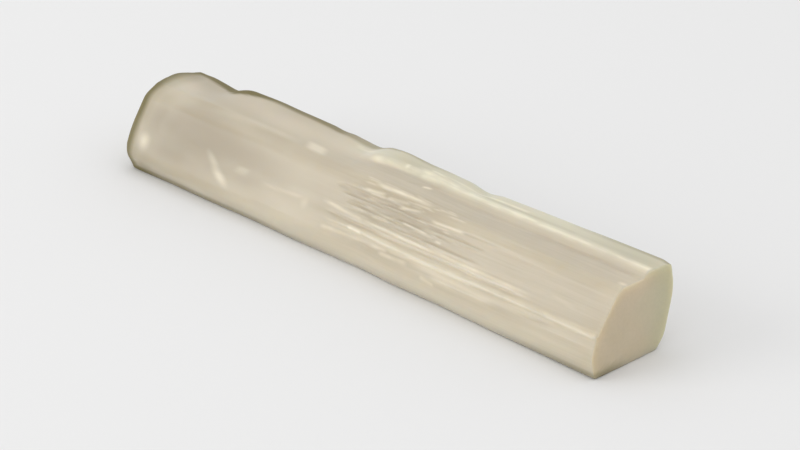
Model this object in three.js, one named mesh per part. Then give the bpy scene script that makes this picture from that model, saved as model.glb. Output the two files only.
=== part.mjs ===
// A selenite crystal blade: one long, lengthwise-cleaved bar of clear to milky gypsum.
// It lies on its flat underside, with the cut end towards +X and the worn, rounded end
// towards -X. The front, towards -Y, slopes back from a low belly to the top, and a thin
// cleavage leaf is left standing along the back of the top.
// The whole crystal is one solid, lofted through cross-sections whose corners are the
// crystal's own lengthwise edges. Millimetres, +Z up, origin at the centre of the underside.
import * as THREE from 'three';

const { lerp, clamp, smoothstep } = THREE.MathUtils;

// Driving dimensions
const LENGTH = 152;
const WIDTH = 25.0; // from the belly at the front to the belly at the back
const HEIGHT = 19.9; // up to the highest part of the crest, half way along
const LEAF = 1.0; // thickness of the cleavage leaf along the back of the top
const SKIN = 0.35; // thickness of the smooth skin that ends in splinters half way along
const CUT_RIM = 0.4; // rounding of the cut end's rim
const WORN_RIM = 3.2; // rounding of the worn end's rim
const WORN_DOME = 1.3; // how far the worn end bulges in its middle

const HALF = LENGTH / 2;
const HALF_WIDTH = WIDTH / 2;

// A track is a lengthwise edge's place at a few stations, as [x, millimetres].
// Between two stations it runs in a smooth S.
function along(track, x) {
  const next = track.findIndex(([station]) => x <= station);
  if (next === 0) return track[0][1];
  if (next < 0) return track[track.length - 1][1];
  const [x0, v0] = track[next - 1];
  const [x1, v1] = track[next];
  return lerp(v0, v1, smoothstep(x, x0, x1));
}

// The underside's front edge, and the belly and ridge above it
const BASE_FRONT_Y = [[-76, -11.2], [-47, -11.0], [-26, -10.4], [5, -10.3], [18, -11.0], [76, -11.1]];
const BELLY_OUT = 1.5; // how far the front belly overhangs the underside's front edge
const BELLY_Z = 4.8;
const RIDGE_Z = 9.3;
const RIDGE_CUT = [[-30, 3.0], [-4, 0.5]]; // the ridge is a soft turn on the smooth half
const RIB = { from: -5, to: LENGTH, height: 0.35, ramp: 4 }; // thin rib along the ridge

// The fold from the front slope to the top
const FOLD_LOW_Y = [[-76, -5.3], [-40, -4.6], [20, -4.5], [76, -4.7]];
const FOLD_LOW_Z = [[-76, 17.8], [-40, 17.4], [-10, 17.0], [76, 17.4]];
const FOLD_HIGH_Y = [[-76, -1.6], [-50, -0.6], [-20, -1.4], [20, -3.0], [76, -3.4]];
const FOLD_HIGH_Z = [[-76, 19.8], [-60, 19.2], [-38, 18.9], [-11, 18.1], [6, 18.4], [30, 17.9], [76, 18.0]];

// The crest along the back of the top, below the highest point, and the leaf beside it
const CREST_DOWN = [
  [-76, 0.2], [-71, 0.5], [-66, 1.1], [-58, 2.0], [-52, 0.3], [-44, 0], [-33, 0.4], [-21, 0.7],
  [-9, 1.5], [-5, 0.4], [-1, 0.1], [9, 0.7], [28, 1.4], [46, 1.2], [76, 1.1],
];
const LEAF_EDGE_Y = [[-76, 4.6], [-5, 5.2], [3, 6.8], [10, 6.6], [18, 5.2], [31, 4.6], [76, 4.2]];
const LEAF_SHARE = [[-10, 0], [-4.5, 1]]; // the leaf starts at the notch in the crest
const LEAF_RISER = 1.5; // width of the sloping edge of the leaf

// The back and the underside's back edge
const CREST_IN = 0.9; // how far the crest lies in from the back belly
const BACK_BELLY_Z = [[-76, 12.4], [-19, 13.4], [31, 13.6], [76, 12.6]];
const BACK_LOW_Y = [[-76, 10.6], [-34, 10.0], [11, 10.3], [76, 10.1]];
const BACK_LOW_Z = 2.6;
const BASE_BACK_Y = [[-76, 7.6], [-34, 7.0], [16, 7.2], [76, 7.7]];

// 1 between two stations and 0 outside them, with a ramp at each end
const between = (x, { from, to, ramp }) =>
  smoothstep(x, from, from + ramp) * (1 - smoothstep(x, to - ramp, to));

// One corner of a cross-section. cut is how far its rounding reaches along its two sides,
// and proud is how far the middle of the rounding stands out as a rib.
const corner = (y, z, cut = 0, proud = 0) => ({ at: new THREE.Vector2(y, z), cut, proud });

// The crystal's corners at a station, from the underside's front edge up and over to the back
function cornersAt(x) {
  const front = along(BASE_FRONT_Y, x);
  const crestZ = HEIGHT - along(CREST_DOWN, x);
  const crestY = HALF_WIDTH - CREST_IN;
  const leaf = LEAF * along(LEAF_SHARE, x);
  const foldY = along(FOLD_HIGH_Y, x);
  const foldZ = along(FOLD_HIGH_Z, x);
  const topAt = (y) => lerp(foldZ, crestZ - leaf, (y - foldY) / (crestY - foldY));
  const leafY = along(LEAF_EDGE_Y, x);
  return {
    baseFront: corner(front, 0, 0.5),
    belly: corner(Math.max(front - BELLY_OUT, -HALF_WIDTH), BELLY_Z, 1.6),
    ridge: corner(front + 0.2, RIDGE_Z, along(RIDGE_CUT, x), RIB.height * between(x, RIB)),
    foldLow: corner(along(FOLD_LOW_Y, x), along(FOLD_LOW_Z, x), 0.9),
    foldHigh: corner(foldY, foldZ, 0.5),
    leafFoot: corner(leafY - LEAF_RISER, topAt(leafY - LEAF_RISER)),
    leafEdge: corner(leafY, topAt(leafY) + leaf),
    crest: corner(crestY, crestZ, 1.1),
    backBelly: corner(HALF_WIDTH, along(BACK_BELLY_Z, x), 2.0),
    backLow: corner(along(BACK_LOW_Y, x), BACK_LOW_Z, 1.2),
    baseBack: corner(along(BASE_BACK_Y, x), 0, 0.6),
  };
}

// An even spread of numbers between 0 and 1, the same at every run
const spread = (n) => (n * 0.61803398875) % 1;
const spreadBetween = (n, low, high) => lerp(low, high, spread(n));

// The front slope is smooth on the worn half. Half way along, its skin ends in a ragged
// line. Past that line the slope lies lower, with splinters and ribs standing on it, and
// it comes level again towards the cut end.
const SKIN_END = { from: -6, to: 10, ramp: 1.5 };
const LEVEL_AGAIN = { from: 38, to: 66 };
const SPLINTERS = { perLane: 4, from: -3, to: 41, height: 0.45 };
const GRAIN = { from: 31, to: 46, height: 0.08 };
const SECOND_RIB = { lane: 1, from: -5, to: 55, height: 0.36, ramp: 3 };

function splinterAt(lane, x) {
  let height = 0;
  for (let n = 0; n < SPLINTERS.perLane; n++) {
    const key = lane * SPLINTERS.perLane + n;
    const length = spreadBetween(key * 7 + 3, 5, 15);
    const from = spreadBetween(key * 5 + 1, SPLINTERS.from, SPLINTERS.to - length);
    const share = spreadBetween(key * 11 + 5, 0.45, 1);
    const here = between(x, { from, to: from + length, ramp: 1.4 });
    height = Math.max(height, SPLINTERS.height * share * here);
  }
  return height;
}

function slopeRelief(lane, isCrest, x) {
  const end = spreadBetween(lane * 3 + 2, SKIN_END.from, SKIN_END.to);
  const peeled = smoothstep(x, end, end + SKIN_END.ramp) - smoothstep(x, LEVEL_AGAIN.from, LEVEL_AGAIN.to);
  const floor = -SKIN * Math.max(peeled, 0);
  if (!isCrest) return floor;
  const rib = lane === SECOND_RIB.lane ? SECOND_RIB.height * between(x, SECOND_RIB) : 0;
  const grain = GRAIN.height * spread(lane * 13 + 4) * smoothstep(x, GRAIN.from, GRAIN.to);
  return floor + Math.max(rib, splinterAt(lane, x), grain);
}

// Thin flakes left standing on the front facet, below the ridge
const FLAKES = [
  { lane: 1, from: -5, to: 12 },
  { lane: 1, from: 15, to: 23 },
  { lane: 0, from: 29, to: 46 },
  { lane: 1, from: 54, to: 62 },
  { lane: 0, from: 63, to: 73 },
];
const FLAKE = { height: 0.3, ramp: 1.5 };

function facetRelief(lane, isCrest, x) {
  const flake = FLAKES.find((f) => f.lane === lane && x > f.from && x < f.to);
  return isCrest && flake ? FLAKE.height * between(x, { ...flake, ramp: FLAKE.ramp }) : 0;
}

// Long, low cleavage steps on the top beside the leaf, and on the back
const TOP_STEP = 0.16;
const BACK_STEP = 0.35;

function topRelief(lane, isCrest, x) {
  const from = spreadBetween(lane * 4 + 1, -13, 15);
  const to = from + spreadBetween(lane * 9 + 2, 20, 44);
  return isCrest ? TOP_STEP * between(x, { from, to, ramp: 3 }) : 0;
}

function backRelief(lane, isCrest, x) {
  const from = spreadBetween(lane * 6 + 5, -61, -9);
  const to = from + spreadBetween(lane * 8 + 3, 40, 70);
  return isCrest ? BACK_STEP * between(x, { from, to, ramp: 2.5 }) : 0;
}

// A side, named by the corner that it starts from, is split into narrow lengthwise lanes.
// Its relief gives how far a lane's crest, or the border before it, stands out from the side.
const SIDES = {
  belly: { lanes: 2, relief: facetRelief },
  ridge: { lanes: 9, relief: slopeRelief },
  foldLow: { lanes: 1, relief: () => 0 },
  foldHigh: { lanes: 3, relief: topRelief },
  leafEdge: { lanes: 1, relief: () => 0 },
  backBelly: { lanes: 3, relief: backRelief },
};

// The outline of one cross-section, as [y, z] points, running up the front and down the back
function outlineAt(x) {
  const corners = Object.entries(cornersAt(x));
  const points = [];
  corners.forEach(([name, { at, cut, proud }], i) => {
    const before = corners.at(i - 1)[1];
    const after = corners[(i + 1) % corners.length][1];
    const incoming = at.clone().sub(before.at).normalize();
    const outgoing = after.at.clone().sub(at).normalize();
    const start = at.clone().addScaledVector(incoming, -cut);
    const sideStart = at.clone().addScaledVector(outgoing, cut);
    if (cut) {
      const away = incoming.clone().sub(outgoing).normalize();
      const middle = new THREE.QuadraticBezierCurve(start, at, sideStart).getPoint(0.5);
      points.push(start, middle.addScaledVector(away, proud));
    }
    points.push(sideStart);

    const { lanes, relief } = SIDES[name] ?? { lanes: 0 };
    const sideEnd = after.at.clone().addScaledVector(outgoing, -after.cut);
    const outward = new THREE.Vector2(-outgoing.y, outgoing.x);
    for (let k = 1; k < lanes * 2; k++) {
      const height = relief(Math.floor(k / 2), k % 2 === 1, x);
      const onSide = sideStart.clone().lerp(sideEnd, k / (lanes * 2));
      points.push(onSide.addScaledVector(outward, height));
    }
  });
  return points;
}

// The point that the ends' cross-sections are drawn in towards, and about how far it is
// from the sides
const CENTRE = new THREE.Vector2(0.3, 9.4);
const CENTRE_TO_SIDE = 10.5;

// The share of its full size that a cross-section has, near an end that is rounded
function drawnIn(x) {
  const lost = (distance, radius) => {
    const into = clamp((radius - distance) / radius, 0, 1);
    return radius * (1 - Math.sqrt(1 - into * into));
  };
  const atCut = lost(HALF - x, CUT_RIM);
  const atWorn = lost(x + HALF - WORN_DOME, WORN_RIM);
  return 1 - (atCut + atWorn) / CENTRE_TO_SIDE;
}

function ringAt(x) {
  const share = drawnIn(x);
  return outlineAt(x).map((p) => {
    const q = p.clone().sub(CENTRE).multiplyScalar(share).add(CENTRE);
    return new THREE.Vector3(x, q.x, q.y);
  });
}

// The cross-sections' stations: close together round the two rims and among the splinters
function stations() {
  const wornStart = -HALF + WORN_DOME;
  const found = [];
  const run = (from, to, count) => {
    for (let i = 0; i < count; i++) found.push(lerp(from, to, i / count));
  };
  const wornSteps = 5;
  for (let i = 0; i < wornSteps; i++) {
    found.push(wornStart + WORN_RIM * (1 - Math.cos((i / wornSteps) * (Math.PI / 2))));
  }
  run(wornStart + WORN_RIM, -13, 21);
  run(-13, 43, 36);
  run(43, HALF - CUT_RIM, 11);
  const cutSteps = 2;
  for (let i = 0; i <= cutSteps; i++) {
    found.push(HALF - CUT_RIM + CUT_RIM * Math.sin((i / cutSteps) * (Math.PI / 2)));
  }
  return found;
}

// The worn end closes in a low dome: its rim's outline again, smaller and further out
function domeRings(rim) {
  return [0.45, 0.8].map((share) => rim.map((p) => new THREE.Vector3(
    p.x - WORN_DOME * (1 - share * share),
    lerp(CENTRE.x, p.y, share),
    lerp(CENTRE.y, p.z, share),
  )));
}

// One closed surface through rings of equally many points, with a point in the middle of each end
function loft(rings) {
  const count = rings[0].length;
  const positions = rings.flat().flatMap((p) => p.toArray());
  positions.push(-HALF, CENTRE.x, CENTRE.y, HALF, CENTRE.x, CENTRE.y);
  const firstMiddle = rings.length * count;
  const lastMiddle = firstMiddle + 1;
  const lastRing = (rings.length - 1) * count;
  const index = [];
  for (let i = 0; i < count; i++) {
    const j = (i + 1) % count;
    index.push(firstMiddle, i, j);
    for (let ring = 0; ring < lastRing; ring += count) {
      index.push(ring + i, ring + count + i, ring + j);
      index.push(ring + j, ring + count + i, ring + count + j);
    }
    index.push(lastMiddle, lastRing + j, lastRing + i);
  }
  const geometry = new THREE.BufferGeometry();
  geometry.setAttribute('position', new THREE.Float32BufferAttribute(positions, 3));
  geometry.setIndex(index);
  geometry.computeVertexNormals();
  return geometry;
}

function crystalGeometry() {
  const body = stations().map(ringAt);
  return loft([...domeRings(body[0]), ...body]);
}

const selenite = new THREE.MeshStandardMaterial({
  name: 'selenite', color: 0xcdc3aa, roughness: 0.3, metalness: 0, flatShading: true,
});

const blade = new THREE.Mesh(crystalGeometry(), selenite);
blade.name = 'selenite_blade';

const crystal = new THREE.Group();
crystal.name = 'selenite_crystal_blade';
crystal.add(blade);

export default crystal;
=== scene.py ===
# %% [markdown]
# # A selenite crystal blade
#
# The object is one natural piece: a bar of gypsum that split along its length. It is clear
# and glassy at its worn end, and silky with fibres from half way along to its cut end.
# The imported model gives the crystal's faces, ridges and splinters at their real size. This
# lesson gives it a finer surface and the finish of the stone, then lights it softly.

# %% Load the frame
from contextlib import contextmanager
from math import cos, radians, sin

import bmesh
import bpy
import numpy
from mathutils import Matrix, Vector


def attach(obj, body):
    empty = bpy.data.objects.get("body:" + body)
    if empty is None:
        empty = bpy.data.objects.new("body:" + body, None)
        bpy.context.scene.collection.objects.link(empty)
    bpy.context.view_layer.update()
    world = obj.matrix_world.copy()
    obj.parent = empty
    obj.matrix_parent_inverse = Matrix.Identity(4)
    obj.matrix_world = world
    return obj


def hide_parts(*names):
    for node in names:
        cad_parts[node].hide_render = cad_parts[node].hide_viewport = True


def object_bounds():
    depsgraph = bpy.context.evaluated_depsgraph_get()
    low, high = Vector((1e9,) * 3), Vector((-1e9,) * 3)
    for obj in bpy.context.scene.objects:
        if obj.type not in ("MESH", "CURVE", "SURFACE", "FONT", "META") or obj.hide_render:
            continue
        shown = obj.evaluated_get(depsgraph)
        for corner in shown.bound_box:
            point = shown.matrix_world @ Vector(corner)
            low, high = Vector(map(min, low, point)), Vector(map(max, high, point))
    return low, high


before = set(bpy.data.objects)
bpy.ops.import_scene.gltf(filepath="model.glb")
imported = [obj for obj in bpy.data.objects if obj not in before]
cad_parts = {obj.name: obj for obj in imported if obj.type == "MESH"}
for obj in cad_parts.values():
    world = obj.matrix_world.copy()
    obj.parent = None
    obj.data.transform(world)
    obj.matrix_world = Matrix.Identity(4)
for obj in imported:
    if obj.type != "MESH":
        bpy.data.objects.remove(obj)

MM = 0.001
cad_low, cad_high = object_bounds()
print("CAD box in mm:", [round(v / MM, 2) for v in (*cad_low, *cad_high)])

# %% [markdown]
# ## The camera
#
# The photo was taken from a little above, with the crystal running away to the left. A long
# lens keeps the far end nearly as large as the near one. The camera is placed by its
# direction and distance from a point inside the crystal, because that is how a person would
# describe where it stood.

# %% Place the camera
CAMERA_AZIMUTH = radians(46.05)
CAMERA_ELEVATION = radians(24.58)
CAMERA_DISTANCE = 534.9 * MM
CAMERA_LENS = 110
SENSOR_WIDTH = 36
LOOKED_AT = Vector((8.33, 0.25, 8.18)) * MM

towards_camera = Vector((
    sin(CAMERA_AZIMUTH) * cos(CAMERA_ELEVATION),
    -cos(CAMERA_AZIMUTH) * cos(CAMERA_ELEVATION),
    sin(CAMERA_ELEVATION),
))
bpy.ops.object.camera_add(location=LOOKED_AT + towards_camera * CAMERA_DISTANCE)
camera = bpy.context.object
camera.name = "photo_camera"
camera.rotation_euler = (-towards_camera).to_track_quat("-Z", "Y").to_euler()
camera.data.lens = CAMERA_LENS
camera.data.sensor_width = SENSOR_WIDTH
camera.data.clip_start = 0.01
bpy.context.scene.camera = camera
print("camera at", [round(v, 4) for v in camera.location])

# %% [markdown]
# ## Shader maths as Python
#
# A material's patterns are sums of node values. Writing them as Python expressions keeps
# them readable, so a small class wraps a socket and adds a Math node for each operator.
# Every other node comes from one method, which sets the node up and then fills its sockets.

# %% Wrap sockets and materials
class Wire:
    """A socket's value, which can be used in Python sums."""

    def __init__(self, tree, socket):
        self.tree = tree
        self.socket = socket

    def maths(self, operation, *values):
        made = self.tree.nodes.new("ShaderNodeMath")
        made.operation = operation
        for socket, value in zip(made.inputs, values):
            fill(self.tree, socket, value)
        return Wire(self.tree, made.outputs[0])

    def __add__(self, other):
        return self.maths("ADD", self, other)

    def __sub__(self, other):
        return self.maths("SUBTRACT", self, other)

    def __rsub__(self, other):
        return self.maths("SUBTRACT", other, self)

    def __mul__(self, other):
        return self.maths("MULTIPLY", self, other)

    __radd__ = __add__
    __rmul__ = __mul__


def fill(tree, socket, value):
    """Links a wire to a socket, or sets the socket's own value."""
    if isinstance(value, Wire):
        tree.links.new(value.socket, socket)
    else:
        socket.default_value = value


class Finish:
    """A material and the nodes in it."""

    def __init__(self, name):
        self.material = bpy.data.materials.new(name)
        self.material.use_nodes = True
        self.tree = self.material.node_tree
        self.tree.nodes.clear()
        self.output = self.tree.nodes.new("ShaderNodeOutputMaterial")

    def node(self, kind, settings=None, inputs=None, out=0):
        """Adds a node: its settings first, then its sockets. Gives one output as a wire."""
        made = self.tree.nodes.new(kind)
        for name, value in (settings or {}).items():
            setattr(made, name, value)
        for name, value in (inputs or {}).items():
            fill(self.tree, made.inputs[name], value)
        return Wire(self.tree, made.outputs[out])

    def places(self):
        """The object's own coordinates in metres, and their x alone."""
        where = self.node("ShaderNodeTexCoord", out="Object")
        return where, self.node("ShaderNodeSeparateXYZ", inputs={0: where})

    def ramp(self, value, low, high):
        """0 below low, 1 above high and a smooth S between, or falling if low is above high."""
        rising = self.node("ShaderNodeMapRange", {
            "interpolation_type": "SMOOTHSTEP", "clamp": True,
        }, {
            "Value": value, "From Min": min(low, high), "From Max": max(low, high),
        })
        return rising if low < high else 1 - rising

    def noise(self, where, scale, detail=2.0, roughness=0.5):
        """Noise between 0 and 1, with its own scale along each axis, in grains per metre."""
        placed = self.node("ShaderNodeMapping", {"vector_type": "POINT"}, {
            "Vector": where, "Scale": scale,
        })
        return self.node("ShaderNodeTexNoise", {"noise_dimensions": "3D"}, {
            "Vector": placed, "Scale": 1.0, "Detail": detail, "Roughness": roughness,
        })

    def blend(self, factor, first, second):
        """The first colour where factor is 0, and the second where it is 1."""
        return self.node("ShaderNodeMix", {"data_type": "RGBA"}, {
            "Factor": factor, 6: first, 7: second,
        }, out=2)


# %% [markdown]
# ## The studio
#
# A pale floor runs past the edges of the picture, so that no horizon shows. Two large soft
# lights stand in for a light tent. The floor lies a hair below the crystal: two surfaces at
# exactly the same height would flicker through clear stone.

# %% Lay the floor
FLOOR_SIZE = 4.0
FLOOR_DROP = 0.05 * MM
PAPER = (0.80, 0.80, 0.80, 1)

bpy.ops.object.select_all(action="DESELECT")
bpy.ops.mesh.primitive_plane_add(size=FLOOR_SIZE, location=(0, 0, -FLOOR_DROP))
floor = bpy.context.object
floor.name = "pale_floor"
bpy.ops.object.transform_apply(location=True, rotation=True, scale=True)

paper = Finish("pale_paper")
paper_shader = paper.node("ShaderNodeBsdfPrincipled", {}, {
    "Base Color": PAPER, "Roughness": 0.9, "Specular IOR Level": 0.1,
})
fill(paper.tree, paper.output.inputs["Surface"], paper_shader)
floor.data.materials.append(paper.material)
print("floor:", FLOOR_SIZE, "m square,", FLOOR_DROP / MM, "mm below the crystal")

# %% Hang the lights
AIR_STRENGTH = 0.88


def soft_light(name, place, power, size):
    """A square softbox that faces the crystal. Its place and size are in metres."""
    bpy.ops.object.light_add(type="AREA", location=place)
    light = bpy.context.object
    light.name = name
    light.rotation_euler = (LOOKED_AT - Vector(place)).to_track_quat("-Z", "Y").to_euler()
    light.data.energy = power
    light.data.size = size


soft_light("overhead_softbox", place=(-0.1, 0.1, 1.3), power=1.8, size=1.4)
soft_light("front_softbox", place=(-0.6, -0.95, 0.4), power=4.5, size=0.8)

world = bpy.data.worlds.new("studio_air")
bpy.context.scene.world = world
world.use_nodes = True
world.node_tree.nodes["Background"].inputs["Color"].default_value = (1, 1, 1, 1)
world.node_tree.nodes["Background"].inputs["Strength"].default_value = AIR_STRENGTH
bpy.context.scene.view_settings.view_transform = "Standard"

# %% [markdown]
# ## The crystal's surface
#
# The real crystal's edges are worn a little and its faces carry fine, long fibres. The
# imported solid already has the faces, ridges and splinters in the right places, so a copy of
# it is the best start. Its loose triangles are merged and paired into quads, because a
# subdivision surface softens quads evenly and triangles in lumps.

# %% Copy the solid and pair its triangles
MERGED = 0.002 * MM
PAIRED = radians(60)  # two triangles that fold or skew less than this make one quad


@contextmanager
def editing(piece):
    """Edit mode on one piece, with nothing selected."""
    bpy.ops.object.select_all(action="DESELECT")
    bpy.context.view_layer.objects.active = piece
    piece.select_set(True)
    bpy.ops.object.mode_set(mode="EDIT")
    bpy.ops.mesh.select_all(action="DESELECT")
    try:
        yield bmesh.from_edit_mesh(piece.data)
    finally:
        bpy.ops.object.mode_set(mode="OBJECT")


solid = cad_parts["selenite_blade"]
crystal = bpy.data.objects.new("selenite_crystal", solid.data.copy())
bpy.context.scene.collection.objects.link(crystal)
with editing(crystal):
    bpy.ops.mesh.select_all(action="SELECT")
    bpy.ops.mesh.remove_doubles(threshold=MERGED)
    bpy.ops.mesh.customdata_custom_splitnormals_clear()
    bpy.ops.mesh.faces_shade_smooth()
    bpy.ops.mesh.tris_convert_to_quads(face_threshold=PAIRED, shape_threshold=PAIRED)
counts = [sum(len(f.vertices) == n for f in crystal.data.polygons) for n in (3, 4)]
print("triangles and quads:", counts)

# %% [markdown]
# ## Faces that would soften badly
#
# Two places of the copy are mended before it is softened. The ridge fades out on the front of
# the worn half and leaves very narrow strips, which would show as a faint seam, so their
# corners are merged. The cut end is a fan of triangles, which would show as rays. It is
# dissolved into one face, and an inset gives that face a thin border, so that its rim stays
# crisp.

# %% Merge the narrow strips on the front of the worn half
SMOOTH_HALF = -12 * MM  # the skin is whole from here to the worn end
STRIPS = (6.0 * MM, 6.6 * MM)  # lowest and highest place of the strips
STRIP_WIDTH = 0.3 * MM

with editing(crystal) as mesh:
    for vertex in mesh.verts:
        on_front = vertex.co.y < 0 and vertex.co.x < SMOOTH_HALF
        vertex.select = on_front and STRIPS[0] < vertex.co.z < STRIPS[1]
    mesh.select_flush_mode()
    bpy.ops.mesh.remove_doubles(threshold=STRIP_WIDTH)
print("crystal vertices:", len(crystal.data.vertices))

# %% Close the cut end with one face
END_FACE_TILT = 0.995  # a face whose normal is this close to the long axis belongs to an end
END_FACE_DEPTH = 0.1 * MM
END_BORDER = 0.2 * MM

with editing(crystal) as mesh:
    bpy.context.tool_settings.mesh_select_mode = (False, False, True)
    for face in mesh.faces:
        at_the_end = face.calc_center_median().x > cad_high.x - END_FACE_DEPTH
        if face.normal.x > END_FACE_TILT and at_the_end:
            face.select = True
    mesh.select_flush_mode()
    bpy.ops.mesh.dissolve_faces()
    bpy.ops.mesh.inset(thickness=END_BORDER)
print("largest face has", max(len(f.vertices) for f in crystal.data.polygons), "corners")

# %% [markdown]
# ## Soft edges
#
# Gypsum is soft enough to scratch with a fingernail, so no edge of it stays sharp. A
# subdivision surface rounds them all. A crease holds the sharp ones back, and leaves them a
# smaller round.

# %% Soften every edge, the sharp ones less
SHARP = radians(22)
CRISPNESS = 0.65
ROUNDS_OF_SOFTENING = 2

with editing(crystal):
    bpy.context.tool_settings.mesh_select_mode = (False, True, False)
    bpy.ops.mesh.edges_select_sharp(sharpness=SHARP)
    bpy.ops.transform.edge_crease(value=CRISPNESS)


def apply_all(piece):
    """Applies a piece's modifiers in their order."""
    bpy.context.view_layer.objects.active = piece
    for modifier in list(piece.modifiers):
        bpy.ops.object.modifier_apply(modifier=modifier.name)


softened = crystal.modifiers.new("softened", "SUBSURF")
softened.levels = ROUNDS_OF_SOFTENING
softened.render_levels = ROUNDS_OF_SOFTENING
apply_all(crystal)
print("crystal faces:", len(crystal.data.polygons))

# %% [markdown]
# ## Places on the crystal
#
# Everything that runs along the crystal is easiest to place on an unrolled sheet, like the
# label of a bottle: x in millimetres along the crystal, and the turn in degrees about its
# long axis. The back is at 0 degrees, the top at 90 and the belly of the front at 180.
# A mark is then a line or a blot on that sheet. Each vertex gets its share of the mark, as
# if it were painted by hand with a soft brush. A place on the sheet is written as (x, turn).

# %% Unroll the crystal
AXIS_HEIGHT = 8.0
places = numpy.array([tuple(vertex.co) for vertex in crystal.data.vertices]) / MM
along = places[:, 0]
height = places[:, 2]
turn = numpy.degrees(numpy.arctan2(height - AXIS_HEIGHT, places[:, 1]))
turn = (turn + 90) % 360 - 90  # the seam lies on the underside
print("along from", round(along.min(), 1), "to", round(along.max(), 1), "mm")


def smooth_step(value, low, high):
    """0 below low, 1 above high and a smooth S between."""
    share = numpy.clip((value - low) / (high - low), 0, 1)
    return share * share * (3 - 2 * share)


def line(start, end, width, taper=2.0):
    """A line along the crystal, its width in degrees, faded over taper mm at its ends."""
    progress = (along - start[0]) / (end[0] - start[0])
    aside = numpy.abs(turn - start[1] - progress * (end[1] - start[1]))
    from_an_end = numpy.minimum(along - start[0], end[0] - along)
    return (1 - smooth_step(aside, 0, width)) * smooth_step(from_an_end, 0, taper)


def blot(centre, reach, slant=0.0, corners=2, soft=1.0):
    """A patch, its reach in mm and degrees, that leans by slant mm along per degree."""
    lean = slant * (turn - centre[1])
    along_share = numpy.abs((along - centre[0] - lean) / reach[0])
    turn_share = numpy.abs((turn - centre[1]) / reach[1])
    away = (along_share ** corners + turn_share ** corners) ** (1 / corners)
    return 1 - smooth_step(away, 1 - soft, 1)


def strongest(marks):
    """The strongest of several marks at each vertex."""
    return numpy.max(marks, axis=0)


def strength(*stations):
    """How strong a mark is along the crystal, from a few (x, strength) pairs."""
    return numpy.interp(along, *zip(*stations))


# %% [markdown]
# ## Pushing the surface
#
# A Displace modifier pushes each vertex as far as its vertex group says. With its direction
# left at the normal it raises or hollows the surface, and along X, Y or Z it moves a form
# sideways. It is applied at once, so that the next push starts from the new surface.

# %% Write the push
FAINTEST = 0.001


def weigh(piece, name, weights):
    """A vertex group from one weight for each vertex."""
    group = piece.vertex_groups.new(name=name)
    for index in numpy.flatnonzero(weights > FAINTEST):
        group.add([int(index)], float(weights[index]), "REPLACE")
    return group


def push(piece, group, distance, direction="NORMAL"):
    """Moves a piece's surface by a distance in mm, where a group has weight."""
    pushed = piece.modifiers.new(group.name, "DISPLACE")
    pushed.vertex_group = group.name
    pushed.direction = direction
    pushed.mid_level = 0
    pushed.strength = distance * MM
    apply_all(piece)


# %% [markdown]
# ## Rubbed ridges
#
# The solid's ribs on the fibrous half have the small steps of its cross sections. On the
# crystal they are rubbed smooth by handling. A Smooth modifier wears them down, with weights
# that keep it off the worn half and off the cut end's rim. The finer splinters come after
# this, so they stay crisp.

# %% Rub the ridges of the fibrous half
CUT_END = round(cad_high.x / MM, 3)
RIM_KEPT = (0.15, 0.8)  # mm from the cut end: no change before, full change after
RUB_ROUNDS = 14
RUB_FACTOR = 0.5

off_the_end = smooth_step(CUT_END - along, *RIM_KEPT)
rubbed = crystal.modifiers.new("rubbed", "SMOOTH")
rubbed.factor = RUB_FACTOR
rubbed.iterations = RUB_ROUNDS
rubbed.vertex_group = weigh(crystal, "rubbed", off_the_end * smooth_step(along, -14, 0)).name
apply_all(crystal)
print("rubbed vertices:", int(numpy.count_nonzero(off_the_end * (along > -14))))

# %% [markdown]
# ## Splinters and hollows
#
# Half way along, the smooth skin ends and the fibres below it stand free. The bright ones
# are thin slivers that stand up a little, some with a hollow beside them. The long ones are
# listed one by one, each as a share of the full height times its line. The many short ones in
# the ragged patch come from a seeded loop.

# %% List the long splinters and hollows
long_splinters = [
    0.55 * line((-6, 173), (93, 172.5), 8.0, taper=18),
    0.3 * line((28, 172.5), (66, 172), 7.0, taper=10),
    0.9 * line((2, 172.5), (8, 173.5), 5, taper=1.5),
    0.2 * line((52, 175), (80, 173), 10, taper=12),
    0.6 * line((-8, 153), (8, 160), 5.0, taper=4),
    0.7 * line((2, 158), (58, 162), 5.5, taper=9),
    0.7 * line((-6, 184), (17, 179), 4.0),
    0.7 * line((13, 183.5), (23, 182.5), 4.0),
    0.35 * line((28, 186), (50, 185), 6, taper=5),
    0.5 * line((26.5, 189), (31.5, 191), 3, taper=1),
    0.15 * line((60, 148), (69, 154), 5, taper=3),
    0.9 * line((3, 107.5), (23, 106), 5.0, taper=5),
    0.7 * line((2, 119), (9.5, 116), 3.5),
    0.7 * line((9, 119), (17, 115), 3.5),
    line((13, 78), (16, 74), 4.0, taper=1),
    0.7 * line((13, 124.5), (21, 118), 3.0),
    0.7 * line((23, 124.5), (34, 122.5), 3.0),
    0.7 * line((26.5, 146), (29, 146), 3.0, taper=1),
    0.7 * line((16, 140), (25, 142.5), 3.0),
    0.6 * line((-6, 67), (12, 59), 6, taper=3),
    line((6, 59), (80, 66), 8.0, taper=5),
    0.3 * line((50, 65), (80, 67.5), 10, taper=10),
    0.7 * line((9, 53.5), (40, 52), 2.5),
    0.6 * line((-14, 14), (79, 9), 5, taper=10),
    0.5 * line((8, 25), (52, 27), 4, taper=6),
    0.5 * line((-2, -12), (36, -9), 5, taper=5),
    0.4 * line((28, -22), (70, -20), 5, taper=6),
]
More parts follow.
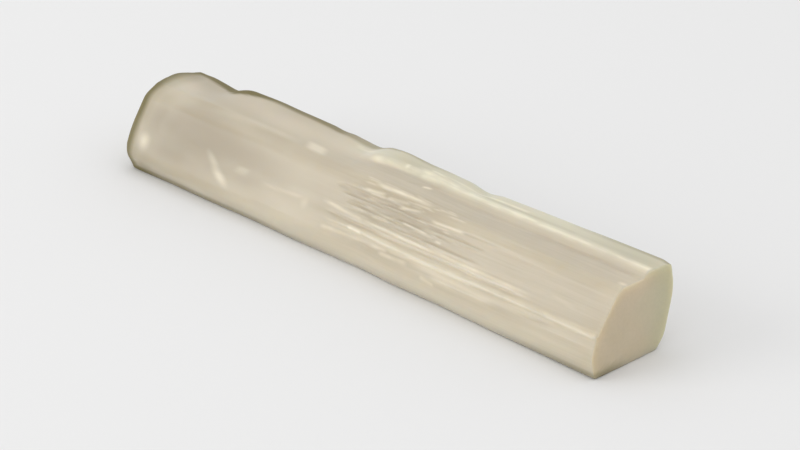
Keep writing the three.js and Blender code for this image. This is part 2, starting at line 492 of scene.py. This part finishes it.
long_hollows = [
    0.2 * line((-2, 166), (58, 167), 4.0, taper=6),
    0.1 * line((12, 179), (54, 180), 3.0, taper=6),
    0.5 * line((-10, 8), (60, 3), 4, taper=8),
    0.5 * line((2, -18), (44, -15), 4, taper=6),
    0.7 * line((11, 56), (54, 55), 2.0),
    0.8 * line((6, 113), (11, 111), 4.0),
    0.7 * line((9, 81), (13, 74), 4.0, taper=1),
    0.7 * line((13, 70), (18, 67), 4.0),
    0.5 * line((1, 150), (40, 152), 3.0, taper=6),
    0.6 * line((10, 131), (24, 133), 3.5),
]
print(len(long_splinters), "long splinters and", len(long_hollows), "hollows")

# %% Scatter the short splinters
SHORT_SPLINTERS = 46
SPLINTER_SEED = 11
STARTS = (0, 27), (98, 158)  # in mm along, and in degrees of turn
REACHES = (3, 9), (-2, 1)
WIDTHS = (1.6, 2.8)
BESIDE = Vector((-1, 3.2))  # from a splinter to its hollow

draw = numpy.random.default_rng(SPLINTER_SEED)
short_splinters, short_hollows = [], []
for splinter in range(SHORT_SPLINTERS):
    start = Vector([draw.uniform(*span) for span in STARTS])
    end = start + Vector([draw.uniform(*span) for span in REACHES])
    width = draw.uniform(*WIDTHS)
    short_splinters.append(line(start, end, width))
    short_hollows.append(line(start + BESIDE, end + BESIDE, width))
print(len(short_splinters), "short splinters")

# %% Raise and hollow the surface
SPLINTER_HEIGHT = 0.085
SHORT_SHARE = 0.4


def together(long_ones, short_ones):
    """Long marks at full strength and short ones at their share, off the cut end's rim."""
    return numpy.maximum(strongest(long_ones), SHORT_SHARE * strongest(short_ones)) * off_the_end


def keep(piece, name, values):
    """An attribute that materials can read."""
    piece.data.attributes.new(name, "FLOAT", "POINT").data.foreach_set("value", values)
    print(f"{name}: {float(numpy.mean(values)):.3f} on average")


splinters = together(long_splinters, short_splinters)
hollows = together(long_hollows, short_hollows)
push(crystal, weigh(crystal, "raised", splinters), SPLINTER_HEIGHT)
push(crystal, weigh(crystal, "lowered", hollows), -SPLINTER_HEIGHT)
keep(crystal, "splinters", splinters)
keep(crystal, "hollows", hollows)

# %% [markdown]
# ## The outline
#
# The crystal's outline is what the eye compares first, and it isn't straight. The worn
# shoulder bulges, a small shelf and two dents follow along the crest, and the back corner of
# the cut end is clipped. Each is a soft push along one axis in a patch of the sheet, near
# the top alone. The foot of the front isn't straight either, so it is drawn in a little, by
# a share that changes along the crystal.

# %% Shape the crest and the corners
CREST_HEIGHTS = (14, 17)  # in mm: no push below, and the full push above

near_the_top = smooth_step(height, *CREST_HEIGHTS)
worn_shoulder = blot((-72, 76), (7, 26))
nudges = [  # a name, a place, an axis and a distance in mm
    ("shoulder_out", worn_shoulder, "X", -1.2),
    ("shoulder_up", worn_shoulder, "Z", 0.1),
    ("shoulder_top_out", blot((-72, 64), (5, 15)), "X", -0.5),
    ("shoulder_top_up", blot((-72, 64), (5, 15)), "Z", 0.25),
    ("worn_corner", blot((-71, 46), (5, 12)), "Z", -0.45),
    ("shelf", blot((-55, 48), (5, 12)), "Z", 0.5),
    ("dip", blot((-21, 46), (4, 10)), "Z", -0.3),
    ("crest_dent", blot((24.5, 46), (5.5, 12)), "Z", -0.8),
    ("low_crest", line((-52, 46), (-4, 46), 16, taper=8), "Z", -0.16),
    ("high_crest", line((48, 46), (92, 46), 16, taper=14), "Z", 0.15),
    ("cut_corner", blot((77, 36), (4, 16)), "Z", -1.1),
]
for name, place, axis, distance in nudges:
    push(crystal, weigh(crystal, name, near_the_top * place), distance, axis)
print("crystal's top at", round(max(v.co.z for v in crystal.data.vertices) / MM, 2), "mm")

# %% Draw the foot in
DRAWN_IN = 1.0
FOOT_HEIGHTS = (0.5, 4.5)  # in mm: the full push below, and none above
FRONT = (-6, 0)  # in mm, front to back: the full push in front, and none behind

across = places[:, 1]
foot_share = strength(
    (-76, 0.60), (-60, 0.90), (-47, 0.80), (-32, 0.60), (-16, 0.20), (-1, 0.35),
    (15, 0.65), (31, 0.85), (46, 0.35), (60, 0.20), (72, 0),
)
near_the_foot = (1 - smooth_step(height, *FOOT_HEIGHTS)) * (1 - smooth_step(across, *FRONT))
push(crystal, weigh(crystal, "foot", near_the_foot * foot_share), DRAWN_IN, "Y")
print("foot drawn in by", round(foot_share.min(), 2), "to", round(foot_share.max(), 2), "mm")

# %% [markdown]
# ## Fibres
#
# Between the splinters the cut half is finely grooved along its length, like satin. A
# Displace modifier pushes the surface in by a noise that is stretched along the crystal: the
# texture reads the coordinates of an empty whose scale is the size of one blot. Weights make
# the grooves deepest in the ragged patch, faint on the worn half, and keep them off the
# underside and the cut end's rim.

# %% Write the groove
GROOVED_BELOW = 0.75  # noise under this lies in a groove, and noise over it stands out


def groove(piece, name, grain, depth, weights):
    """Pushes a piece's surface in by stretched noise, grain being one blot's size in mm."""
    texture = bpy.data.textures.new(name, "CLOUDS")
    texture.noise_scale = 1.0
    texture.noise_depth = 2
    bpy.ops.object.empty_add(location=(0, 0, 0))
    stretch = bpy.context.object
    stretch.scale = Vector(grain) * MM
    bpy.context.view_layer.update()
    pushed = piece.modifiers.new(name, "DISPLACE")
    pushed.texture = texture
    pushed.texture_coords = "OBJECT"
    pushed.texture_coords_object = stretch
    pushed.vertex_group = weights.name
    pushed.mid_level = GROOVED_BELOW
    pushed.strength = depth * MM
    apply_all(piece)
    bpy.data.objects.remove(stretch)
    bpy.data.textures.remove(texture)


# %% Groove the fibrous half
WORN_SHARE, CUT_SHARE, RAGGED_SHARE = 0.02, 0.10, 0.4

ragged = smooth_step(along, -6, 5) * smooth_step(45 - along, 0, 20)
ragged *= smooth_step(turn, 92, 102) * smooth_step(165 - turn, 0, 10)
fibrous_share = WORN_SHARE + CUT_SHARE * smooth_step(along, -15, 12) + RAGGED_SHARE * ragged
fibrous_share *= off_the_end * smooth_step(height, 0.3, 1.5)
fibrous_weights = weigh(crystal, "fibrous", fibrous_share)
groove(crystal, "long_grooves", grain=(16, 1.1, 1.1), depth=0.20, weights=fibrous_weights)
groove(crystal, "fine_grooves", grain=(7, 0.5, 0.5), depth=0.12, weights=fibrous_weights)
print("grooves at their deepest:", round(fibrous_share.max(), 2), "of their full depth")

# %% [markdown]
# ## Painted light and shade on the stone's own tone
#
# The worn half is clear enough to look into. Its thick middle is darkest, and light gathers
# along its top, low on its front and round its worn end. The cut half is darker in the
# ragged patch, and lighter along the top of its leaf and low on its front. These marks are
# partly the stone's own tone and partly painted light and shade, lighter where the lamps
# fall on a face and darker where it turns away. They are broad and soft, so they are painted
# on the same unrolled sheet, each as lighter or darker by a share of the whole range.

# %% Paint the light and dark
MIDDLE_TONE = 0.45

# Lighter and darker marks: partly the stone's own tone, partly painted light and shade.
painted_light_and_tone = MIDDLE_TONE + sum([
    -0.45 * blot((-50, 140), (24, 46)),
    -0.18 * blot((-32, 145), (16, 36)),
    -0.14 * blot((-57, 178), (9, 14)),
    -0.12 * blot((-44, 186), (20, 24)),
    -0.14 * blot((-33, 174), (14, 14)),
    -0.14 * blot((10, 184), (22, 18)),
    0.10 * blot((-13, 160), (9, 12)),
    0.15 * blot((-64, 92), (9, 55)),
    -0.10 * blot((12, 156), (16, 9)),
    0.15 * blot((26, 47), (16, 8)),
    0.20 * line((21, 179.5), (62, 181), 4.5, taper=7),
    0.20 * line((19, 175.5), (44, 175), 3.0, taper=6),
    0.10 * line((8, 165), (50, 166), 4, taper=8),
    -0.12 * blot((8, 57), (20, 10)),
    -0.08 * blot((-12, 105), (14, 20)),
    -0.20 * blot((70, 56), (14, 14)),
    -0.10 * blot((-26, 186), (12, 12)),
    -0.30 * blot((-46, 2), (28, 34)),
    0.25 * blot((-20, 207), (52, 60)),
    0.25 * blot((-30, 68), (38, 28)),
    0.28 * blot((-75, 130), (9, 200)),
    0.30 * blot((-70, 82), (10, 34)),
    0.22 * blot((-8, 56), (18, 28)),
    -0.18 * blot((14, 125), (22, 32)),
    0.10 * blot((38, 160), (50, 16)),
    0.25 * blot((40, 205), (56, 24)),
    0.10 * blot((40, 70), (46, 20)),
    0.45 * blot((42, 46), (46, 13)),
    0.10 * blot((68, 190), (22, 20)),
])
keep(crystal, "light_and_tone", numpy.clip(painted_light_and_tone, 0, 1))

# %% [markdown]
# ## Flakes
#
# Where the stone has split a little inside, a thin film of air shines pale through the
# surface. Their paleness is partly the colour of these inner cracks and partly a painted
# reflection of the light. The largest is the slanting bruise on the worn half, and one round
# spot lies close to the worn end. A mask with soft edges is enough for them, because they
# have no relief.

# %% Paint the flakes
flakes_and_glints = strongest([
    0.4 * blot((74.8, 103), (1.6, 6)),
    0.6 * blot((-67.2, 176), (3.0, 15)),
    0.65 * blot((-39.8, 179), (3.0, 12), slant=0.25),
    0.35 * blot((-43, 166), (2.4, 17), slant=0.227),
    0.2 * blot((-33.6, 162), (2.8, 7), slant=-0.1, corners=4, soft=0.8),
    0.45 * blot((-18.4, 89.5), (4.2, 11), slant=0.1, corners=4, soft=0.7),
    0.2 * blot((-12, 168), (1.8, 10)),
    0.35 * blot((-3.4, 67), (3.5, 4)),
    0.4 * blot((4.4, 60), (1.0, 2.5)),
    0.25 * line((-14, 53), (-6, 57), 3),
    0.4 * blot((-34, 6), (4, 8), slant=0.2),
    0.3 * line((-30, -14), (-12, -10), 5, taper=5),
    0.2 * line((-28, 168), (-11, 162), 4, taper=5),
    0.16 * line((-54, 97.5), (-20, 91), 9, taper=10),
])
keep(crystal, "flakes_and_glints", flakes_and_glints)

# %% [markdown]
# ## The painted dark rim
#
# A thin olive brown rim of painted shade darkens the outline round the worn end, along the
# crest and along the foot, where it is also painted contact shade. It is strongest round the
# worn end, fades towards the middle of the crystal and comes back fainter near the cut end.
# The cut face has it only along its foot. The masks below first find the cut face and the
# crest, then say how strong the painted shade is on each part, and where two parts meet the
# stronger one counts.

# %% Find the cut face and the crest
CUT_FACE_NORMALS = (0.4, 0.85)  # from the rounded rim to the flat of the face
CUT_FACE_STARTS = 75  # in mm along
CREST_TURNS = (36, 41)  # in degrees: behind the crest below, and on it above

facing_along = numpy.array([vertex.normal.x for vertex in crystal.data.vertices])
on_cut_face = smooth_step(facing_along, *CUT_FACE_NORMALS) * (along > CUT_FACE_STARTS)
near_the_crest = near_the_top * smooth_step(turn, *CREST_TURNS) * (1 - on_cut_face)
keep(crystal, "cut_face", on_cut_face)

# %% Paint the dark rim shade of the crest and the foot
EDGE_BLUR = (1.5, 2)  # in degrees, before and past the crest's edge
FOOT_SHADE_TOP = 2.1
FOOT_SHADE_BLUR = 1.2
FADE_BEHIND = 0.9  # the foot's painted shade is nearly gone under the stone and at its back

crest_share = strength(
    (-50, 1), (-24, 0.85), (-15, 0.5), (-2, 0.55), (8, 0.4),
    (16, 0.1), (46, 0.05), (62, 0.4), (76, 0.55),
)
crest_edge = strength(
    (-60, 49.5), (-58, 52), (-55.5, 55.5), (-52, 53.5), (-48, 51), (-44, 50), (-20, 49.5),
    (0, 48), (56, 48), (76, 47),
)
within_the_edge = 1 - smooth_step(turn, crest_edge - EDGE_BLUR[0], crest_edge + EDGE_BLUR[1])
# Painted shade: a dark line along the crest's edge, where the outline turns away.
crest_edge_shade = crest_share * near_the_crest * within_the_edge

foot_shade_share = strength(
    (-69, 1), (-61, 0.6), (-28, 0.45), (-12, 0.2), (4, 0), (44, 0), (60, 0.3), (76, 0.6),
)
foot_shade_share *= 1 - FADE_BEHIND * smooth_step(across, -8, 1)
# Painted shade along the foot, where the stone meets the floor.
foot_shade = foot_shade_share * smooth_step(FOOT_SHADE_TOP - height, 0, FOOT_SHADE_BLUR)
print("rind on the crest:", round(crest_edge_shade.mean(), 3), "of the whole")
print("rind on the foot:", round(foot_shade.mean(), 3), "of the whole")

# %% Paint the dark rim shade of the worn end
END_SHADE_FULL = 72.2  # in mm towards the worn end: the painted rim shade is full from here on
END_FADE = 3.1  # in mm, on the front
WIDER_AT_TOP = 1.5
WIDER_AT_FOOT = 1.4
HALO = (67.5, 70.5)  # in mm: a faint band of painted shade inside the rim
HALO_SHARE = 0.28
STRONGER_AT_TOP = 0.14
CAP_SHARE = 0.4  # on the end's middle and on the back

towards_worn_end = -along
from_the_axis = numpy.hypot(across, height - AXIS_HEIGHT)
top_of_end = 1 - smooth_step(turn, 92, 112)
foot_of_end = smooth_step(turn, 192, 210)
in_front = smooth_step(turn, -10, 42) * (1 - smooth_step(turn, 225, 268))
in_front *= smooth_step(from_the_axis, 4, 9)
end_fade = END_FADE + WIDER_AT_TOP * top_of_end + WIDER_AT_FOOT * foot_of_end
end_share = CAP_SHARE + (1 - CAP_SHARE) * in_front
off_the_spot = 1 - blot((-69, 168), (7, 24))
halo_share = in_front * (HALO_SHARE + STRONGER_AT_TOP * top_of_end) * off_the_spot
# Painted shade round the outline of the worn end, with a fainter band inside it.
worn_end_shade = strongest([
    end_share * smooth_step(towards_worn_end, END_SHADE_FULL - end_fade, END_SHADE_FULL),
    halo_share * smooth_step(towards_worn_end, HALO[0] - WIDER_AT_TOP * top_of_end, HALO[1]),
    0.35 * in_front * foot_of_end * smooth_step(towards_worn_end, 63, 68),
])
# Painted shade: a thin dark line under the leaf's edge.
under_the_leaf = 0.15 * line((22, 52.5), (48, 57), 2.5, taper=6)
keep(crystal, "rim_shade", strongest([worn_end_shade, under_the_leaf, crest_edge_shade, foot_shade]))

# %% Tint the crest and the back of the cut face green
green = strongest([
    near_the_crest * (1 - smooth_step(turn, 56, 72)) * smooth_step(along, -22, 0),
    on_cut_face * smooth_step(across, 1, 10),
])
keep(crystal, "green", green)

# %% [markdown]
# ## Worn and lit edges, shaded dents
#
# Where the stone stands out it is bruised and whiter, partly as a painted highlight, and where
# it falls in it is darker, as painted shade.
# How far each vertex stands out from its neighbours is measured once and kept on the mesh,
# for the material to read.

# %% Measure what stands out
SHORTEST = 1e-9  # metres, so that no length is divided by zero
SHARPEST = 0.25  # the mean rise over an edge's length that counts as a full edge


def standing_out(piece, reach):
    """A number for each vertex, from -1 in a groove to 1 on an edge."""
    mesh = bmesh.new()
    mesh.from_mesh(piece.data)
    mesh.normal_update()
    values = []
    for vertex in mesh.verts:
        rise = 0
        for edge in vertex.link_edges:
            away = vertex.co - edge.other_vert(vertex).co
            rise += vertex.normal.dot(away) / max(away.length, SHORTEST)
        values.append(max(-1, min(1, rise / len(vertex.link_edges) / reach)))
    mesh.free()
    return values


keep(crystal, "standing_out", standing_out(crystal, SHARPEST))

# %% [markdown]
# ## The stone
#
# Selenite lets light through but scatters some of it on its fibres. Two shaders are mixed: a
# clear one that bends light, and a milky one that scatters it below the surface. The fibres,
# splinters and flakes decide how much of each there is at a point. Inside the stone a volume
# absorbs a little more blue than red, which leaves thick stone tan. A dark olive rim of
# painted shade, along the outline, the crest and the foot, is a third shader, dull and dark,
# mixed over both by its own mask.

# %% Read the crystal's marks in the material
SILK = (-22 * MM, 12 * MM)  # where the fibres come in, along the crystal
SILK_FADES = (26 * MM, 55 * MM)

selenite = Finish("selenite")
where, x = selenite.places()


def kept(name):
    """An attribute of the mesh."""
    return selenite.node("ShaderNodeAttribute", {
        "attribute_type": "GEOMETRY", "attribute_name": name,
    }, out="Fac")


fibrous = selenite.ramp(x, *SILK)
silky = fibrous * (1 - 0.6 * selenite.ramp(x, *SILK_FADES))
cut_face = kept("cut_face")
strands = selenite.noise(where, scale=(18, 480, 480))
fibres = selenite.noise(where, scale=(45, 1500, 1500), detail=3.0, roughness=0.6)
dashes = selenite.noise(where, scale=(190, 700, 700), detail=1.0)
clouds = selenite.noise(where, scale=(45, 100, 100))
edges = selenite.ramp(kept("standing_out"), 0.15, 0.8)
# Dents: painted shade where the surface falls in.
dents = selenite.ramp(kept("standing_out"), -0.15, -0.8)
print("nodes that read the marks:", len(selenite.tree.nodes))

# %% [markdown]
# ## Colours of the stone
#
# The painted tone, partly the stone's own and partly painted light and shade, runs from a
# deep tan to a light cream. Clouds and fine streaks break it up, as growth zones and fibres
# do. Then come the tints that lie on top: greenish at the crest, painted shade in hollows and
# dents, and pale on splinters, edges and flakes, partly bruised stone and inner cracks and
# partly painted highlight and reflection. The cut face has its own tans, partly its own
# colour and partly painted shade, as it faces away from the lamps.

# %% Colour the stone
DEEP = (0.48, 0.405, 0.285, 1)
LIGHT = (0.95, 0.865, 0.69, 1)
CUT_TANS_AND_SHADE = ((0.56, 0.47, 0.32, 1), (0.68, 0.58, 0.42, 1))
PALE = (0.95, 0.90, 0.74, 1)
SHADED = (0.52, 0.44, 0.29, 1)
GREENISH = (0.84, 0.85, 0.66, 1)
GREEN_CUT = (0.53, 0.52, 0.345, 1)

streaks = silky * (0.14 * (strands - 0.5) + 0.07 * (fibres - 0.5))
light_and_tone = kept("light_and_tone") + 0.25 * (clouds - 0.5) + streaks
splintered = kept("splinters") * (0.65 + 0.35 * selenite.ramp(dashes, 0.3, 0.65))
cream = selenite.blend(selenite.ramp(light_and_tone, 0, 1), DEEP, LIGHT)
cream = selenite.blend(0.5 * kept("green"), cream, GREENISH)
# Painted shade in hollows and dents.
cream = selenite.blend(0.2 * kept("hollows") + 0.12 * dents, cream, SHADED)
# Pale on splinters and standing edges: partly bruised, whiter stone and partly painted
# highlight.
cream = selenite.blend(0.42 * splintered + 0.1 * edges, cream, PALE)
# Pale flakes: inner cracks with a painted reflection on them.
cream = selenite.blend(0.8 * kept("flakes_and_glints"), cream, PALE)
# The cut face's darker tans: partly its own colour, partly painted shade as it faces away from
# the lamps.
cut = selenite.blend(0.8 * kept("green"), selenite.blend(clouds, *CUT_TANS_AND_SHADE), GREEN_CUT)
cream = selenite.blend(cut_face, cream, cut)
print("nodes with the colours:", len(selenite.tree.nodes))

# %% Mix clear and milky stone
STONE_IOR = 1.52
GLASSY = (0.99, 0.975, 0.94, 1)
FIBRE_RELIEF = 0.2 * MM
SCATTER = 6 * MM
MILKY_SHARE = 0.6

bump = selenite.node("ShaderNodeBump", {}, {
    "Strength": 0.2, "Distance": FIBRE_RELIEF, "Height": fibres * silky * (1 - cut_face),
})
clear = selenite.node("ShaderNodeBsdfPrincipled", {}, {
    "Base Color": GLASSY, "Roughness": 0.22, "IOR": STONE_IOR,
    "Transmission Weight": 1.0, "Normal": bump,
})
milky = selenite.node("ShaderNodeBsdfPrincipled", {}, {
    "Base Color": cream, "Roughness": 0.4, "IOR": STONE_IOR, "Normal": bump,
    "Subsurface Weight": 0.8, "Subsurface Radius": (1.0, 0.85, 0.6), "Subsurface Scale": SCATTER,
})
milkiness = MILKY_SHARE + fibrous * (0.05 + 0.1 * (fibres - 0.5)) + 0.3 * splintered
milkiness = milkiness + 0.3 * kept("flakes_and_glints") + 0.2 * cut_face
stone = selenite.node("ShaderNodeMixShader", {}, {0: milkiness, 1: clear, 2: milky})

# %% Add the painted rim shade and the tan of thick stone
OLIVE_SHADE = (0.165, 0.14, 0.06, 1)
THICK_TAN = (0.82, 0.75, 0.60, 1)
TAN_DENSITY = 15.0

# The painted dark rim: a dull olive shader that paints shade along the outline and foot.
rim_shade = selenite.node("ShaderNodeBsdfPrincipled", {}, {
    "Base Color": OLIVE_SHADE, "Roughness": 0.7, "Specular IOR Level": 0.1,
})
stone = selenite.node("ShaderNodeMixShader", {}, {
    0: kept("rim_shade") * (0.7 + 0.4 * clouds), 1: stone, 2: rim_shade,
})
absorbed = selenite.node("ShaderNodeVolumeAbsorption", {}, {
    "Color": THICK_TAN, "Density": TAN_DENSITY,
})
fill(selenite.tree, selenite.output.inputs["Surface"], stone)
fill(selenite.tree, selenite.output.inputs["Volume"], absorbed)
crystal.data.materials.clear()
crystal.data.materials.append(selenite.material)
print("nodes in the finished stone:", len(selenite.tree.nodes))

# %% Put the crystal in the solid's place
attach(crystal, "root")
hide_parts("selenite_blade")
print("crystal triangles:", sum(len(f.vertices) - 2 for f in crystal.data.polygons))
